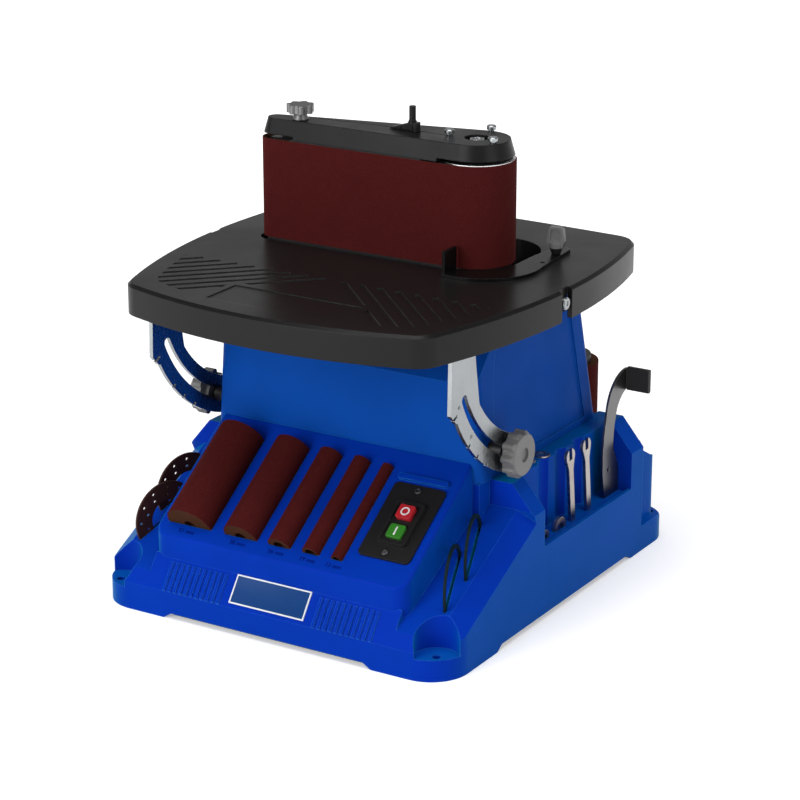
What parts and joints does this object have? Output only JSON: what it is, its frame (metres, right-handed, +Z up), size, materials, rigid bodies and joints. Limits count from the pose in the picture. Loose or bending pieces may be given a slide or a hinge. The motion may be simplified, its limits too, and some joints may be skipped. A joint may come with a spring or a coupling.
{
  "type": "oscillating belt and spindle sander",
  "caption": "Bench sander with an upright belt on an oscillating spindle, a tilting table on slotted trunnions and a moulded base that stores sanding drums, inserts and tools.",
  "frame": {"origin": "middle of the bench bolt pattern, on the underside of the feet", "axes": "+X to the right along the front, +Y to the back, +Z up"},
  "size_m": [0.419, 0.4994, 0.48],
  "materials": {
    "blue_plastic": "satin",
    "black_metal": "satin",
    "black_plastic": "satin",
    "steel": "brushed",
    "bright_steel": "polished",
    "grey_plastic": "satin",
    "abrasive": "rough",
    "brown_rubber": "matte",
    "black_rubber": "matte",
    "red_plastic": "gloss",
    "green_plastic": "gloss",
    "cast_aluminium": "as cast",
    "motor_iron": "matte"
  },
  "bodies": {
    "base": {"base_housing": "blue_plastic", "bottom_cover": "black_plastic", "column_housing": "blue_plastic", "dust_port": "black_plastic", "cord_gland": "black_plastic", "switch_plate": "black_plastic", "switch_body": "black_plastic", "rubber_drums": "brown_rubber", "sleeve_51": "abrasive", "sleeve_38": "abrasive", "sleeve_26": "abrasive", "sleeve_19": "abrasive", "sleeve_13": "abrasive", "rear_post": "black_plastic", "rear_drum": "brown_rubber", "rear_sleeve": "abrasive", "table_inserts": "black_plastic", "wrenches": "bright_steel", "hook_bar": "steel", "bar_grip": "black_rubber", "spare_washers": "steel", "lock_studs": "steel", "quill_guide": "cast_aluminium", "motor_bracket": "cast_aluminium", "motor_stator": "motor_iron", "drive_bearings": "steel", "drive_belts": "black_rubber"},
    "table": {"table": "black_metal", "pivot_bolts": "bright_steel", "trunnion_left": "steel", "trunnion_right": "steel", "trunnion_screws": "steel", "work_stop": "black_metal"},
    "belt_unit": {"quill": "steel", "spindle_bearings": "steel", "belt_lower_plate": "cast_aluminium", "platen": "steel", "sanding_belt": "abrasive", "belt_cover": "black_plastic", "cover_screws": "bright_steel"},
    "idler_slide": {"idler_carrier": "cast_aluminium", "idler_axle": "steel"},
    "idler": {"idler_roller": "cast_aluminium"},
    "spindle": {"spindle_shaft": "steel", "drive_drum": "black_rubber", "spindle_nut": "bright_steel"},
    "rotor": {"motor_rotor": "motor_iron", "motor_fan": "black_plastic", "motor_pulley": "cast_aluminium"},
    "spindle_pulley": {"spindle_pulley": "cast_aluminium"},
    "cam_pulley": {"cam_pulley": "cast_aluminium"},
    "tension_lever": {"tension_lever": "black_plastic"},
    "tracking_knob": {"tracking_knob": "grey_plastic"},
    "lock_knob_left": {"lock_knob_left": "grey_plastic"},
    "lock_knob_right": {"lock_knob_right": "grey_plastic"},
    "thumb_knob": {"thumb_knob": "grey_plastic"},
    "stop_button": {"stop_button": "red_plastic"},
    "start_button": {"start_button": "green_plastic"}
  },
  "joints": [
    {"name": "table_tilt", "type": "hinge", "parent": "base", "child": "table", "pos_m": [0, -0.018, 0.317], "axis": [1, 0, 0], "range_deg": [0, 45]},
    {"name": "oscillation", "type": "slide", "parent": "base", "child": "belt_unit", "axis": [0, 0, 1], "range_m": [0, 0.016]},
    {"name": "rotor_spin", "type": "hinge", "parent": "base", "child": "rotor", "pos_m": [-0.062, 0.04, 0.1], "axis": [0, 0, 1], "continuous": true},
    {"name": "spindle_spin", "type": "hinge", "parent": "belt_unit", "child": "spindle", "pos_m": [0.0819, 0.0228, 0.38], "axis": [0, 0, 1], "continuous": true},
    {"name": "idler_spin", "type": "hinge", "parent": "idler_slide", "child": "idler", "pos_m": [-0.1358, -0.0012, 0.384], "axis": [0, 0, 1], "continuous": true},
    {"name": "pulley_spin", "type": "hinge", "parent": "base", "child": "spindle_pulley", "pos_m": [0.0819, 0.0228, 0.177], "axis": [0, 0, 1], "continuous": true},
    {"name": "cam_spin", "type": "hinge", "parent": "base", "child": "cam_pulley", "pos_m": [0.0819, 0.0228, 0.159], "axis": [0, 0, 1], "continuous": true},
    {"name": "idler_tension", "type": "slide", "parent": "belt_unit", "child": "idler_slide", "axis": [1, 0, 0], "range_m": [0, 0.008]},
    {"name": "lever_turn", "type": "hinge", "parent": "belt_unit", "child": "tension_lever", "pos_m": [0.004, 0.018, 0.458], "axis": [0, 0, 1], "range_deg": [0, 90]},
    {"name": "tracking_turn", "type": "hinge", "parent": "belt_unit", "child": "tracking_knob", "pos_m": [-0.1085, 0, 0.462], "axis": [0, 0, 1], "range_deg": [-180, 180]},
    {"name": "lock_left_turn", "type": "hinge", "parent": "base", "child": "lock_knob_left", "pos_m": [-0.18, -0.0684, 0.17625], "axis": [1, 0, 0], "range_deg": [0, 360]},
    {"name": "lock_right_turn", "type": "hinge", "parent": "base", "child": "lock_knob_right", "pos_m": [0.18, -0.0684, 0.17625], "axis": [1, 0, 0], "range_deg": [0, 360]},
    {"name": "thumb_turn", "type": "hinge", "parent": "table", "child": "thumb_knob", "pos_m": [0.142, 0.077, 0.345], "axis": [0, 0, 1], "range_deg": [0, 360]},
    {"name": "stop_press", "type": "slide", "parent": "base", "child": "stop_button", "axis": [0, 0.5664, -0.8241], "range_m": [0, 0.003], "stiffness_N_per_m": 400, "springref_m": -0.003},
    {"name": "start_press", "type": "slide", "parent": "base", "child": "start_button", "axis": [0, 0.5664, -0.8241], "range_m": [0, 0.003], "stiffness_N_per_m": 400, "springref_m": -0.003}
  ],
  "couplings": [
    {"joint": "spindle_spin", "follows": "rotor_spin", "ratio": 0.52941},
    {"joint": "idler_spin", "follows": "rotor_spin", "ratio": 1.4057},
    {"joint": "pulley_spin", "follows": "rotor_spin", "ratio": 0.52941},
    {"joint": "cam_spin", "follows": "rotor_spin", "ratio": 0.5},
    {"joint": "lever_turn", "follows": "idler_tension", "rad_per_m": 196.35}
  ]
}
